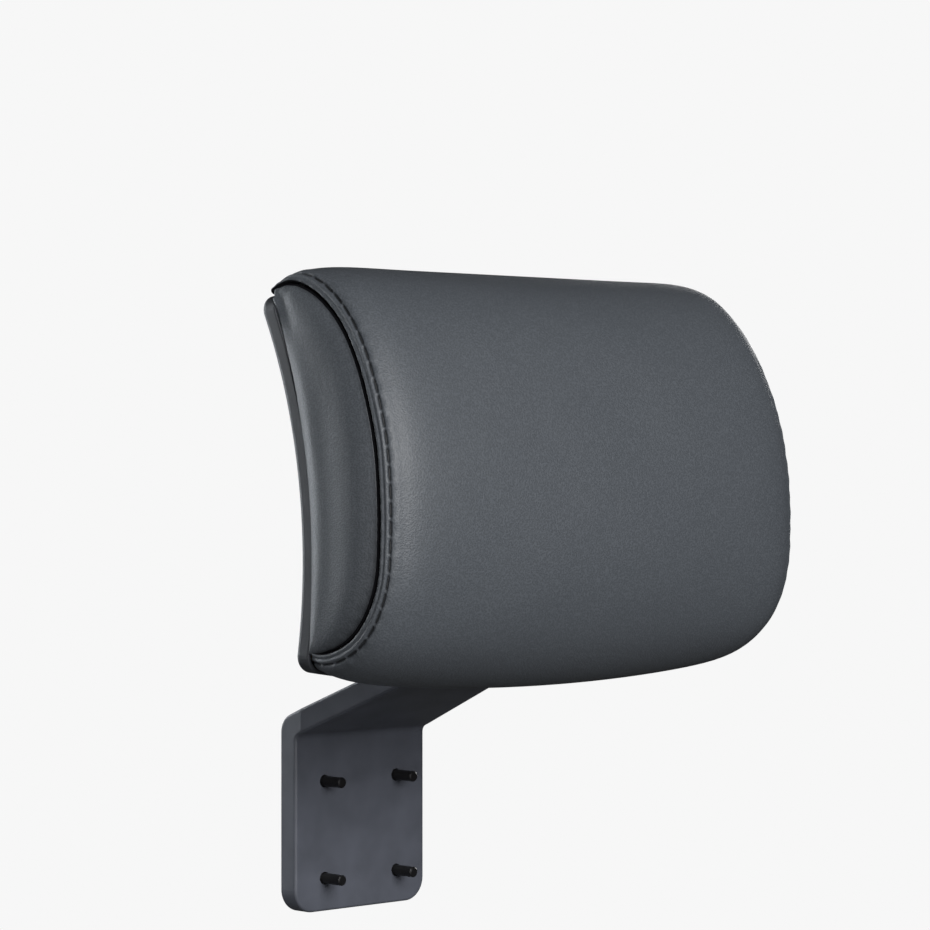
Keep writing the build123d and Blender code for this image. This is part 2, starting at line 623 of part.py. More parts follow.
# ------------------------------------------------------------------ arm
def make_arm():
    """The cast arm: mounting plate, slope over the chair's top edge, and the stem with its notches."""
    front_low = ARM_UNDER_Z - (CHAIR_FACE_Y - STEM_Y[0]) * ARM_FALL
    plate_back = CHAIR_FACE_Y + ARM_T
    back_high = ARM_OVER_Z - (plate_back - STEM_Y[1]) * ARM_FALL
    with BuildSketch(Plane.YZ) as side:
        with BuildLine():
            Polyline(
                (CHAIR_FACE_Y, PLATE_BOTTOM_Z), (CHAIR_FACE_Y, front_low), (STEM_Y[0], ARM_UNDER_Z),
                (STEM_Y[0], STEM_TOP_Z), (STEM_Y[1], STEM_TOP_Z), (STEM_Y[1], ARM_OVER_Z),
                (plate_back, back_high), (plate_back, PLATE_BOTTOM_Z), (CHAIR_FACE_Y, PLATE_BOTTOM_Z),
            )
        make_face()
        for y, z, radius in (
            (CHAIR_FACE_Y, front_low, 4),
            (STEM_Y[0], ARM_UNDER_Z, 9),
            (STEM_Y[1], ARM_OVER_Z, 8),
            (plate_back, back_high, 10),
        ):
            fillet(side.vertices().sort_by_distance((y, z, 0))[:1], radius)
    body = extrude(side.sketch, PLATE_HALF_X + 5, both=True)
    neck = [(NECK_HALF_X, 30), (NECK_HALF_X, 56), (PLATE_HALF_X, CHAIR_FACE_Y - 4), (PLATE_HALF_X, 150)]
    with BuildSketch(Plane.XY) as plan:
        with BuildLine():
            Polyline(*neck, *[(-x, y) for x, y in reversed(neck)], neck[0])
        make_face()
    body &= Pos(0, 0, -160) * extrude(plan.sketch, 300)
    plate_z = (PLATE_BOTTOM_Z, STEM_TOP_Z + 30)
    sheet = box((-PLATE_HALF_X, PLATE_HALF_X), (0, 200), plate_z)
    body &= fillet(sheet.edges().filter_by(Axis.Y).group_by(Axis.Z)[0], PLATE_CORNER_R)
    for x in ((STEM_HALF_X, 60), (-60, -STEM_HALF_X)):
        body -= box(x, (20, 64), (SHOULDER_Z, STEM_TOP_Z + 5))
    return body


def dress_arm(body):
    """Rounds the arm's edges and cuts its notches, bolt holes and the cap's slot."""
    edges = [e for e in body.edges() if e.length > 3 and (abs(e.center().X) > 25 or e.center().Z < -1)]
    body = fillet(edges, EDGE_R)
    for z in notch_heights():
        body -= rod_x(NOTCH_R, (-10, 10), STEM_Y[1] + NOTCH_R - NOTCH_DEPTH, z)
    socket_y = (STEM_Y[0] + 2.5, STEM_Y[1] - 2.5)
    body -= box((-PLUG_HALF_X, PLUG_HALF_X), socket_y, (STEM_TOP_Z - PLUG_DEPTH, STEM_TOP_Z + 1))
    for hole in bolt_rods(BOLT_HOLE_R, (CHAIR_FACE_Y - 5, CHAIR_FACE_Y + ARM_T + 5)):
        body -= hole
    return body


def bolt_rods(radius, y):
    """Four rods along Y at the chair's bolts."""
    places = [(x, BOLT_CENTRE_Z + z) for x in (-BOLT_SPACING_X / 2, BOLT_SPACING_X / 2)
              for z in (-BOLT_SPACING_Z / 2, BOLT_SPACING_Z / 2)]
    return [rod_y(radius, y, x, z) for x, z in places]


def make_stem_cap():
    """The cap on the stem: it stops the slider at the top of its travel."""
    y = (STEM_Y[0] - STEM_CAP_OVER, STEM_Y[1] + STEM_CAP_OVER)
    half = STEM_HALF_X + STEM_CAP_OVER
    cap = box((-half, half), y, (STEM_TOP_Z + 0.01, STEM_TOP_Z + STEM_CAP_T))
    cap = fillet(cap.edges().filter_by(Axis.Z), 2)
    cap = fillet(cap.faces().sort_by(Axis.Z)[-1].edges(), 1.5)
    plug_y = (STEM_Y[0] + 2.55, STEM_Y[1] - 2.55)
    plug_z = (STEM_TOP_Z - PLUG_DEPTH + 0.5, STEM_TOP_Z + 1)
    return cap + box((-PLUG_HALF_X + 0.05, PLUG_HALF_X - 0.05), plug_y, plug_z)


def make_bolts():
    """Socket-headed bolts that stand out of the arm on the chair's side."""
    seat = CHAIR_FACE_Y + ARM_T + BOLT_WASHER_T
    heads = bolt_rods(BOLT_HEAD_R, (seat, seat + BOLT_HEAD_T))
    shanks = bolt_rods(BOLT_R, (CHAIR_FACE_Y, seat + 0.1))
    threads = bolt_rods(BOLT_THREAD_R, (CHAIR_FACE_Y - BOLT_STANDS_OUT, CHAIR_FACE_Y + 1))
    recess = Plane.XZ.offset(-seat - 1.2)
    sockets = [extrude(recess * Pos(x, BOLT_CENTRE_Z + z) * RegularPolygon(2.3, 6), -9)
               for x in (-BOLT_SPACING_X / 2, BOLT_SPACING_X / 2)
               for z in (-BOLT_SPACING_Z / 2, BOLT_SPACING_Z / 2)]
    bolts = []
    for head, shank, thread, socket in zip(heads, shanks, threads, sockets):
        head = fillet(head.edges().sort_by(Axis.Y)[-1:], 1.5)
        thread = chamfer(thread.edges().sort_by(Axis.Y)[:1], 0.6)
        bolts.append(head + shank + thread - socket)
    return bolts


def make_washers():
    """Flat washers under the bolts' heads."""
    y = (CHAIR_FACE_Y + ARM_T + 0.01, CHAIR_FACE_Y + ARM_T + BOLT_WASHER_T - 0.01)
    bores = bolt_rods(BOLT_R + 0.2, (100, 160))
    return [ring - bore for ring, bore in zip(bolt_rods(BOLT_WASHER_R, y), bores)]


def main():
    """Builds and writes every node."""
    os.makedirs("parts", exist_ok=True)
    make_pad()
    write("inner_board", make_board())
    write("tee_nuts", make_tee_nuts())
    write("cover_staples", make_staples())
    write("rear_shell", make_shell())
    write("shell_screws", make_shell_screws())
    write("tilt_bracket", make_bracket())
    write("bracket_screws", make_bracket_screws())
    write("hinge_pin", make_pin())
    write("disc_springs", make_disc_springs())
    write("lock_nut", make_nut())
    for name, made in (
        ("end_cap", make_end_cap()),
        ("knuckle_bush", make_bush()),
        ("friction_washer", make_friction_washer()),
        ("guide_liner", make_liner()),
    ):
        right, left = both_sides(made)
        write(f"{name}_right", right)
        write(f"{name}_left", left)
    write("slider_front", make_slider_front())
    write("slider_rear_cover", make_slider_cover())
    write("cover_screws", make_cover_screws())
    write("detent_spring", make_detent_spring())
    write("mount_arm", dress_arm(make_arm()))
    write("stem_cap", make_stem_cap())
    write("mounting_bolts", make_bolts())
    write("bolt_washers", make_washers())


main()
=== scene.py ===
import json
import math

import bmesh
import bpy
import numpy as np
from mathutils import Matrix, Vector


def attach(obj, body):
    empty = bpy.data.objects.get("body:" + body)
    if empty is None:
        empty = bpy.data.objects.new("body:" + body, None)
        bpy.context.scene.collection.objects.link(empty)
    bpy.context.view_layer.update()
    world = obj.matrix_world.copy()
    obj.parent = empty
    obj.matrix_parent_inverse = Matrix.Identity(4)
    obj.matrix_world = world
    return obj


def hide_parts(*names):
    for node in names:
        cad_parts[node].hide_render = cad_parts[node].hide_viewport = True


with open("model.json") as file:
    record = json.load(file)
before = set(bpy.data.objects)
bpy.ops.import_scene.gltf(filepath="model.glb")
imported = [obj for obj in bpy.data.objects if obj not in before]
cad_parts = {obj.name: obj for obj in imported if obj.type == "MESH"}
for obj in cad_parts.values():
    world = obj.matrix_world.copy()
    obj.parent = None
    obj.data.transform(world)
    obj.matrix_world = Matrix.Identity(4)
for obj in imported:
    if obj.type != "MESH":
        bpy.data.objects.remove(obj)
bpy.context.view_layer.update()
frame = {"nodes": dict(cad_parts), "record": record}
NODES = frame["nodes"]

# Everything soft is drawn in millimetres round the pad: x = 0 is its middle, and y = 0, z = 0 is close to
# the lower back corner of its side panels. Forward is -y.
PAD_ORIGIN = np.array([0.0, -122.0, 100.0])
MM = 0.001
MIRROR = np.array([-1, 1, 1])
# a point behind the pad's middle, which its front, top and bottom face away from
BEHIND = np.array([0.0, 60.0, 80.0])
LEATHER_THICK = 0.8


# ------------------------------------------------------------------ curves and grids
def spline_matrix(known, wanted):
    """What each known value counts for at each wanted place, on a natural cubic spline."""
    n, h = len(known), np.diff(known)
    system, right = np.zeros((n, n)), np.zeros((n, n))
    system[0, 0] = system[-1, -1] = 1
    for i in range(1, n - 1):
        system[i, i - 1 : i + 2] = h[i - 1], 2 * (h[i - 1] + h[i]), h[i]
        right[i, i - 1 : i + 2] = 6 / h[i - 1], -6 / h[i - 1] - 6 / h[i], 6 / h[i]
    bend = np.linalg.solve(system, right)
    i = np.clip(np.searchsorted(known, wanted, side="right") - 1, 0, n - 2)
    a = (known[i + 1] - wanted) / h[i]
    b, eye = 1 - a, np.eye(n)
    curve = (a**3 - a)[:, None] * bend[i] + (b**3 - b)[:, None] * bend[i + 1]
    return a[:, None] * eye[i] + b[:, None] * eye[i + 1] + curve * (h[i] ** 2)[:, None] / 6


def smooth_curve(points, count, fine=2000):
    """A spline through rows that start with (y, z), sampled evenly along its way in that plane, and its
    length there."""
    points = np.array(points, float)
    steps = np.linalg.norm(np.diff(points[:, :2], axis=0), axis=1)
    at = np.concatenate([[0], np.cumsum(steps)])
    dense_at = np.linspace(0, at[-1], fine)
    dense = spline_matrix(at, dense_at) @ points
    length = np.concatenate([[0], np.cumsum(np.linalg.norm(np.diff(dense[:, :2], axis=0), axis=1))])
    even = np.interp(np.linspace(0, length[-1], count), length, dense_at)
    return spline_matrix(at, even) @ points, length[-1]


def unit(v):
    """Vectors of length 1 in the same directions."""
    return v / np.maximum(np.linalg.norm(v, axis=-1, keepdims=True), 1e-9)


def bump(x, centre, width):
    """A smooth bump, 1 at its centre."""
    return np.exp(-(((x - centre) / width) ** 2))


def soft_step(x, a, b):
    """0 up to a, 1 from b on, and smooth between them."""
    x = np.clip((x - a) / (b - a), 0, 1)
    return x * x * (3 - 2 * x)


def grid_normals(grid, outward):
    """Unit normals of a grid of points, turned to the side that outward points to."""
    normal = unit(np.cross(np.gradient(grid, axis=0), np.gradient(grid, axis=1)))
    sign = np.sign(np.sum(normal * outward, axis=-1, keepdims=True))
    sign[sign == 0] = 1
    return normal * sign


def grid_quads(index):
    """The corners of each cell of a grid of point numbers."""
    return np.stack([index[:-1, :-1], index[:-1, 1:], index[1:, 1:], index[1:, :-1]], -1).reshape(-1, 4)


def add_mesh(name, points, faces, origin=PAD_ORIGIN):
    """An object from points in millimetres from the origin, and its faces as lists of point numbers."""
    mesh = bpy.data.meshes.new(name)
    mesh.from_pydata(((points + origin) * MM).tolist(), [], faces)
    mesh.polygons.foreach_set("use_smooth", np.ones(len(mesh.polygons), bool))
    obj = bpy.data.objects.new(name, mesh)
    bpy.context.scene.collection.objects.link(obj)
    return obj


def face_outward(mesh, join=0.0):
    """Joins the points that are closer than join, in metres, and turns all faces outward."""
    work = bmesh.new()
    work.from_mesh(mesh)
    if join:
        bmesh.ops.remove_doubles(work, verts=work.verts, dist=join)
    bmesh.ops.recalc_face_normals(work, faces=work.faces)
    work.to_mesh(mesh)
    work.free()


def leather_sheet(name, grid, material, painted_shade, flip=False):
    """A closed sheet of leather over a grid of points. Each point carries how much painted shade darkens
    it.
    """
    inward = unit(np.cross(np.gradient(grid, axis=0), np.gradient(grid, axis=1))) * (1 if flip else -1)
    points = np.concatenate([grid.reshape(-1, 3), (grid + inward * LEATHER_THICK).reshape(-1, 3)])
    index = np.arange(grid[..., 0].size).reshape(grid.shape[:2])
    far = index.size
    edge = np.concatenate([index[0], index[1:, -1], index[-1, ::-1][1:], index[::-1, 0][1:-1]])
    after = np.roll(edge, -1)
    rim = np.stack([after, edge, edge + far, after + far], -1)
    outer = grid_quads(index)
    quads = np.concatenate([outer, outer[:, ::-1] + far, rim])
    if flip:
        quads = quads[:, ::-1]
    obj = add_mesh(name, points, quads.tolist())
    # painted shade: each point's darkening is kept in a point attribute that the leather material reads
    values = np.concatenate([painted_shade.ravel()] * 2).astype(np.float32)
    obj.data.attributes.new("painted_seam_shade", "FLOAT", "POINT").data.foreach_set("value", values)
    face_outward(obj.data, join=1e-6)
    obj.data.materials.append(material)
    obj.data.update()
    return obj


# ------------------------------------------------------------------ the pad's shape
# the pad's curved back: (y, z) of its axis, and its radius
BACK_AXIS = (267.3, 45.0)
R_BACK = 267.9
# the pad's half-width at the back, and the heights between which the side panels' back edge runs
SIDE = 140.0
BACK_TOP, BACK_BOTTOM = 168.0, -1.0
# how far inside the seam and inside the half-width a side panel lies before it is pillowed
SEAM_INSET, BACK_INSET = 0.8, 0.6
# along the side seam from its top back end, over the front, to its lower back end:
# y, z, half-width, then growth (y, z) close inside the seam and growth (y, z) towards the middle
SEAM = [
    (31.6, 169.8, 139.0, -0.4, 4.0, 0.0, 0.6),
    (22.2, 173.8, 137.6, -1.0, 7.2, 0.0, 0.8),
    (9.3, 171.4, 136.2, -3.4, 10.6, -0.6, 0.6),
    (-4.2, 163.3, 135.8, -7.6, 12.8, -1.6, 0.8),
    (-20.0, 147.5, 136.9, -10.8, 10.2, -2.2, 1.0),
    (-33.7, 124.3, 139.0, -11.9, 5.8, -2.4, 0.6),
    (-41.8, 101.5, 140.1, -12.1, 2.2, -2.8, 0.0),
    (-45.8, 72.0, 140.7, -12.5, -1.6, -2.8, -0.8),
    (-45.9, 50.0, 140.8, -12.1, -4.7, -2.8, -1.6),
    (-44.4, 36.0, 140.8, -11.1, -6.6, -3.6, -2.7),
    (-40.6, 25.6, 140.7, -10.4, -9.2, -4.4, -4.2),
    (-34.6, 16.1, 140.5, -9.6, -11.4, -4.6, -6.0),
    (-24.4, 7.2, 140.2, -7.2, -13.4, -2.8, -7.6),
    (-13.6, 2.4, 140.0, -4.6, -14.0, -0.9, -8.2),
    (-3.6, 0.8, 139.8, -1.4, -13.2, -0.3, -8.4),
    (1.8, 1.6, 139.6, 0.2, -12.6, 0.0, -8.4),
]
ROWS = 420
SEAM_ROWS, SEAM_LENGTH = smooth_curve(SEAM, ROWS)
ALONG = np.linspace(0, SEAM_LENGTH, ROWS)
# how square the front is across: it rises steeply inside the seams and is nearly level between them
PUFF_POWER, PUFF_ROOT = 12.0, 2.4
# the stitches' distance from the seam and their length, and the gap between the seam and a side panel
STITCH_AT = 5.8
STITCH_PITCH = 7.9
GROOVE = 2.1
# the distance from the seam that is given to the columns across the front's middle
FAR = 99.0


def back_y(z):
    """The pad's curved back at a height."""
    return BACK_AXIS[0] - np.sqrt(R_BACK**2 - (z - BACK_AXIS[1]) ** 2)


def back_edge(count):
    """The side panel's back edge, from its top corner to its lower one: (y, z) on the pad's back."""
    z = np.linspace(BACK_TOP, BACK_BOTTOM, count)
    return np.stack([back_y(z), z], -1)


def front_base(rows, w):
    """The front panel's plain surface: rows of the seam table against w, -1 to 1 across the chair."""
    w = np.asarray(w, float)[None, :]
    share = np.abs(w)
    puff = (1 - share**PUFF_POWER) ** (1 / PUFF_ROOT)
    bow = 1 - share**2
    y = rows[:, 0:1] + puff * rows[:, 3:4] + bow * rows[:, 5:6]
    z = rows[:, 1:2] + puff * rows[:, 4:5] + bow * rows[:, 6:7]
    return np.stack([w * rows[:, 2:3], y, z], -1)


def side_plain(share):
    """A right-hand side panel's plain surface: rows of the seam table against 0, the seam, to 1, the back
    edge."""
    seam = np.stack([SEAM_ROWS[:, 2] - SEAM_INSET, SEAM_ROWS[:, 0], SEAM_ROWS[:, 1]], -1)
    back = np.concatenate([np.full((ROWS, 1), SIDE - BACK_INSET), back_edge(ROWS)], -1)
    share = share[None, :, None]
    return seam[:, None] * (1 - share) + back[:, None] * share


# between the evenly spread columns and the closely spaced ones
MIDDLE_GAP = 5.0


def seam_columns():
    """Distances from the seam of the front panel's closely spaced columns."""
    near = np.arange(1.0, 11.0, 0.4)
    return np.concatenate([near, [11.6, 12.4, 13.4, 14.6, 16.0, 18.0, 20.5, 23.5, 27.0]])


def front_grid(swell):
    """The front panel, sampled by distance from the seam near it and evenly across its middle."""
    # ever finer steps towards the seam, where the front is steepest
    dense_w = np.concatenate([np.linspace(0, 0.9, 200), 1 - np.geomspace(0.1, 1e-7, 700)[1:], [1.0]])
    dense = front_base(SEAM_ROWS, dense_w) + swell(dense_w)
    step = np.linalg.norm(np.diff(dense, axis=1), axis=-1)
    length = np.concatenate([np.zeros((ROWS, 1)), np.cumsum(step, axis=1)], axis=1)
    columns = seam_columns()
    middle = np.linspace(0, 1, 22)
    half = []
    for r in range(ROWS):
        total = length[r, -1]
        want = np.concatenate([middle * (total - columns[-1] - MIDDLE_GAP), total - columns[::-1]])
        half.append([np.interp(want, length[r], dense[r, :, k]) for k in range(3)])
    half = np.moveaxis(np.array(half), 1, 2)
    left = half[:, ::-1] * MIRROR
    grid = np.concatenate([left, half[:, 1:]], axis=1)
    distance = np.concatenate([[FAR] * len(middle), columns[::-1]])
    distance = np.concatenate([distance[::-1], distance[1:]])
    return grid, distance


# ------------------------------------------------------------------ filling the leather
# where the cloth has points: across the front, across a side panel, and in rows of the seam table
SIM_W = np.linspace(-1, 1, 57)
SIM_SHARE = np.linspace(0, 1, 11)
SIM_ROWS = np.linspace(0, ROWS - 1, 64).round().astype(int)
SIM_BACK_COLUMNS = 21
SIM_FRAMES = 24
PRESSURE = 9.0
CLOTH = {
    "quality": 6,
    "mass": 0.5,
    "tension_stiffness": 5,
    "compression_stiffness": 5,
    "shear_stiffness": 3,
    "bending_stiffness": 8,
}
# the most that a point moves
CAP = 9.0
# how much smaller the front and a side panel start, and the width from which a side panel swells, and is
# pulled in, in full
PULL_IN = 1.5
SIDE_PULL_IN = 1.4
FULL_REACH = 45.0


def spread_rows(field):
    """A field known on the simulation's rows, on every row."""
    return np.einsum("rk,kwc->rwc", spline_matrix(SIM_ROWS.astype(float), np.arange(ROWS)), field)


def across(field, known, wanted):
    """A field known at some places across each row, at other places."""
    return np.einsum("wk,rkc->rwc", spline_matrix(known, np.asarray(wanted, float)), field)


def front_pull(grid):
    """From the plain front to the slightly smaller one that the cloth starts as."""
    ends = np.sin(np.pi * np.linspace(0, 1, len(grid))) ** 0.5
    crown = np.sqrt(1 - SIM_W**2)[None, :, None]
    return -PULL_IN * grid_normals(grid, grid - BEHIND) * crown * ends[:, None, None]


def side_pull(grid):
    """From a plain side panel to the slightly smaller one that the cloth starts as."""
    room = np.clip(np.linalg.norm(grid[:, -1] - grid[:, 0], axis=1) / FULL_REACH, 0, 1)
    pull = np.zeros_like(grid)
    pull[..., 0] = -SIDE_PULL_IN * room[:, None] * np.sin(np.pi * SIM_SHARE)
    return pull


def closed_cover(front, side):
    """The points of a cover closed all round, and the grids of point numbers of its front, its left side,
    its right side and its back."""
    points = [front.reshape(-1, 3)]
    ids = np.arange(front[..., 0].size).reshape(front.shape[:2])
    grids, total = [ids], ids.size
    for sign, column in ((-1, 0), (1, -1)):
        inner = side[:, 1:] * np.array([sign, 1, 1])
        made = total + np.arange(inner[..., 0].size).reshape(inner.shape[:2])
        total += made.size
        points.append(inner.reshape(-1, 3))
        grids.append(np.concatenate([ids[:, column][:, None], made], axis=1))
    share = np.linspace(0, 1, SIM_BACK_COLUMNS)[1:-1, None]
    low, high = grids[1][:, -1], grids[2][:, -1]
    coords = np.concatenate(points)
    between = coords[low][:, None] * (1 - share) + coords[high][:, None] * share
    made = total + np.arange(between[..., 0].size).reshape(between.shape[:2])
    grids.append(np.concatenate([low[:, None], made, high[:, None]], axis=1))
    return np.concatenate([coords, between.reshape(-1, 3)]), grids


def cloth_object(coords, grids):
    """The closed cover as an object, with the points that the seams and the board hold in a group."""
    front, left, right, back = grids
    quads = [quad for grid in grids for quad in grid_quads(grid).tolist()]
    for row in (0, -1):
        loop = [*front[row], *right[row][1:], *back[row][::-1][1:], *left[row][::-1][1:-1]]
        quads.append([int(i) for i in loop])
    obj = add_mesh("inflate", coords, quads, origin=0.0)
    face_outward(obj.data)
    pinned = set(front[:, 0]) | set(front[:, -1]) | set(front[0]) | set(front[-1]) | set(back.ravel())
    for grid in (left, right):
        pinned |= set(grid[:, -1]) | set(grid[0]) | set(grid[-1])
    obj.vertex_groups.new(name="seams").add([int(i) for i in pinned], 1.0, "REPLACE")
    return obj


def blow_up(obj):
    """Runs the cloth under pressure, and gives where each point ends, in metres."""
    cloth = obj.modifiers.new("cloth", "CLOTH")
    for key, value in CLOTH.items():
        setattr(cloth.settings, key, value)
    cloth.settings.vertex_group_mass = "seams"
    cloth.settings.use_pressure = True
    cloth.settings.uniform_pressure_force = PRESSURE
    cloth.settings.effector_weights.gravity = 0.0
    cloth.collision_settings.use_collision = False
    cloth.point_cache.frame_end = SIM_FRAMES
    for number in range(1, SIM_FRAMES + 1):
        bpy.context.scene.frame_set(number)
    settled = obj.evaluated_get(bpy.context.evaluated_depsgraph_get())
    after = np.empty(len(obj.data.vertices) * 3)
    settled.data.vertices.foreach_get("co", after)
    bpy.data.objects.remove(obj)
    bpy.context.scene.frame_set(1)
    return after.reshape(-1, 3)


def inflate():
    """How far filling moves the leather from its plain shape, in millimetres: the front, then the left
    and the right side panel, each seen as a right-hand one."""
    front = front_base(SEAM_ROWS, SIM_W)[SIM_ROWS]
    smaller = front_pull(front)
    side = side_plain(SIM_SHARE)[SIM_ROWS]
    smaller_side = side_pull(side)
    coords, grids = closed_cover(front + smaller, side + smaller_side)
    move = blow_up(cloth_object(coords, grids)) / MM - coords
    size = np.linalg.norm(move, axis=1, keepdims=True)
    move *= np.minimum(1, CAP / np.maximum(size, 1e-9))
    left = spread_rows(move[grids[1]] * MIRROR + smaller_side)
    right = spread_rows(move[grids[2]] + smaller_side)
    return spread_rows(move[grids[0]] + smaller), left, right


def make_swell():
    """Functions that give the swelling of the front and of a side panel at places across them."""
    front, left, right = inflate()
    # the two halves are made alike, so the pad stays even
    front = (front + front[:, ::-1] * MIRROR) / 2
    side = (right + left) / 2
    return (lambda w: across(front, SIM_W, w)), (lambda share: across(side, SIM_SHARE, share))


# ------------------------------------------------------------------ the finished leather and foam
THREAD_RADIUS = 0.30
# how far the foam lies inside the plain front and the pad's back
FOAM_INSET = 5.0
FOAM_BACK_INSET = 1.6
# the width under which a side panel's beads shrink, the gap at its back edge, and how much is cut off at
# its two pointed ends
FULL_BEAD_REACH = 12.0
BACK_GAP = 0.4
TRIM_TOP, TRIM_BOTTOM = 2.5, 1.5


def stitch_phase(along, shift=0.0):
    """Nearness, 0 to 1, to the needle holes along the stitch line."""
    return 0.5 + 0.5 * np.cos(2 * np.pi * (along + shift) / STITCH_PITCH)


def seam_relief(along, distance):
    """Height of the leather above its plain surface beside the seam, in millimetres: a strip of two
    ridges, the stitch channel, puckers, a shoulder and slow waves."""
    a, d = along[:, None], distance[None, :]
    gap = stitch_phase(a) ** 8
    pull = stitch_phase(a, 0.5 * STITCH_PITCH) ** 3
    strip = (0.36 + 0.20 * pull) * bump(d, 1.5, 0.8) + 0.42 * bump(d, 4.0, 0.9) - 0.14 * bump(d, 2.8, 0.5)
    channel = -1.15 * (1 - 0.7 * gap) * bump(d, STITCH_AT, 0.62)
    pucker = 0.30 * (stitch_phase(a) - 0.5) * bump(d, STITCH_AT + 1.2, 1.8)
    shoulder = 0.45 * bump(d, 8.8, 2.4)
    waves = 0.10 * np.sin(a / 5.3 + 1.3) * bump(d, 3.0, 4.0) + 0.07 * np.sin(a / 2.9) * bump(d, 8.0, 3.0)
    return strip + channel + pucker + shoulder + waves


def rolled_edge(edge, normal, outward, radius, turn, flange, steps=7):
    """Rows of points that carry a sheet's edge round a bead, by turn in degrees, and then straight on.

    radius and flange may be numbers or hold one value for each point of the edge."""
    radius = np.broadcast_to(radius, len(edge))[:, None]
    flange = np.broadcast_to(flange, len(edge))[:, None]
    centre = edge - normal * radius
    rows = []
    for k in range(1, steps + 1):
        angle = math.radians(turn) * k / steps
        rows.append(centre + radius * (math.cos(angle) * normal + math.sin(angle) * outward))
    angle = math.radians(turn)
    along = -math.sin(angle) * normal + math.cos(angle) * outward
    for share in (0.25, 0.6, 1.0):
        rows.append(rows[steps - 1] + along * flange * share)
    return rows


def stitches(line, up):
    """The threads along a line of the grid, each as its points and the lift direction at each."""
    runs = []
    for k in range(1, int(SEAM_LENGTH / STITCH_PITCH) - 1):
        at = (k + np.linspace(0.10, 0.90, 9)) * STITCH_PITCH
        run = np.stack([np.interp(at, ALONG, line[:, i]) for i in range(3)], -1)
        lift = unit(np.stack([np.interp(at, ALONG, up[:, i]) for i in range(3)], -1))
        runs.append((run, lift))
    return runs


def make_threads(name, runs, radius, material, sides=8):
    """Short threads, each a round tube that arches up and dips into its hole at both ends."""
    points, quads = [], []
    a = 2 * np.pi * np.arange(sides)[:, None] / sides
    for run, up in runs:
        rings = len(run)
        u = np.linspace(0, 1, rings)[:, None]
        sideways = unit(np.cross(unit(np.gradient(run, axis=0)), up))
        arch = 0.30 * np.sin(np.pi * u) ** 0.6
        dip = 0.75 * (2 * u - 1) ** 10
        centre = run + up * (arch - dip)
        thin = radius * (0.45 + 0.55 * np.sin(np.pi * np.clip(u, 0.04, 0.96)) ** 0.35)
        base = len(points) * sides
        for k in range(rings):
            points.append(centre[k] + thin[k] * (np.cos(a) * up[k] + np.sin(a) * sideways[k]))
        for k in range(rings - 1):
            low, high = base + k * sides, base + (k + 1) * sides
            for j in range(sides):
                n = (j + 1) % sides
                quads.append([low + j, low + n, high + n, high + j])
        quads.append([base + j for j in range(sides)][::-1])
        quads.append([base + (rings - 1) * sides + j for j in range(sides)])
    obj = add_mesh(name, np.concatenate(points), quads)
    obj.data.materials.append(material)
    return obj


def make_front(swell, material):
    """The front cover with its turned edges, and the topstitching beside its seams."""
    grid, distance = front_grid(swell)
    normal = grid_normals(grid, grid - BEHIND)
    grid = grid + normal * seam_relief(ALONG, distance)[..., None]
    # painted shade: dark along the stitch channel, lighter at each needle hole, and half dark at the
    # seam's edge beside the groove
    dash = 1 - 0.8 * stitch_phase(ALONG[:, None]) ** 8
    painted_shade = dash * bump(distance[None, :], STITCH_AT, 0.6) + 0.5 * bump(distance[None, :], 0.4, 0.9)
    threads = []
    for column in np.flatnonzero(np.abs(distance - STITCH_AT) < 0.01):
        threads += stitches(grid[:, column], normal[:, column])
    # along both seams the leather turns down into the gap
    seams = []
    for column, inner in ((0, 1), (-1, -2)):
        outward = unit(grid[:, column] - grid[:, inner])
        edge, up = grid[:, column], normal[:, column]
        seams.append(rolled_edge(edge, up, outward, radius=1.2, turn=100, flange=5.0))
    grid = np.concatenate([np.stack(seams[0][::-1], 1), grid, np.stack(seams[1], 1)], axis=1)
    beads = len(seams[0])
    # painted shade: the edges turned down into the gap are painted fully dark
    painted_shade = np.pad(painted_shade, ((0, 0), (beads, beads)), constant_values=1.0)
    # the back edges, at the top and the bottom, roll in over the board, and fade out at the seams
    fade = np.pad(np.clip((distance - 0.5) / 5.0, 0, 1), beads)
    normal = np.pad(normal, ((0, 0), (beads, beads), (0, 0)), mode="edge")
    ends = []
    for row, inner in ((0, 3), (-1, -4)):
        outward = unit(grid[row] - grid[inner])
        edge, up = grid[row], normal[row]
        ends.append(rolled_edge(edge, up, outward, radius=1.6 * fade, turn=88, flange=5.0 * fade))
    grid = np.concatenate([np.stack(ends[0][::-1], 0), grid, np.stack(ends[1], 0)], axis=0)
    # the rolled top and bottom edges keep the painted shade of the rows they turn from
    painted_shade = np.pad(painted_shade, ((len(ends[0]), len(ends[1])), (0, 0)), mode="edge")
    cover = leather_sheet("front_cover_leather", grid, material, painted_shade)
    return cover, make_threads("topstitch", threads, THREAD_RADIUS, THREAD)


def make_foam(swell, material):
    """The moulded foam: the pad's shape pulled in under the leather, closed by its curved back."""
    w = np.linspace(-0.95, 0.95, 41)
    grid = (front_base(SEAM_ROWS, w) + swell(w))[::8]
    grid = grid - FOAM_INSET * grid_normals(grid, grid - BEHIND)
    heights = np.linspace(0, 1, 24)[1:-1, None, None]
    back = grid[-1][None] * (1 - heights) + grid[0][None] * heights
    back[..., 1] = back_y(back[..., 2]) - FOAM_BACK_INSET
    loop = np.concatenate([grid, back], axis=0)
    index = np.arange(loop[..., 0].size).reshape(loop.shape[:2])
    after = np.roll(index, -1, axis=0)
    faces = grid_quads(np.concatenate([index, index[:1]])).tolist()
    # both ends are fans round a point in their middle
    for a, b in zip(index[:, 0], after[:, 0]):
        faces.append([int(a), int(b), index.size])
    for a, b in zip(index[:, -1], after[:, -1]):
        faces.append([int(b), int(a), index.size + 1])
    middles = loop[:, [0, -1]].mean(axis=0)
    obj = add_mesh("foam_block", np.concatenate([loop.reshape(-1, 3), middles]), faces)
    obj.data.materials.append(material)
    return obj


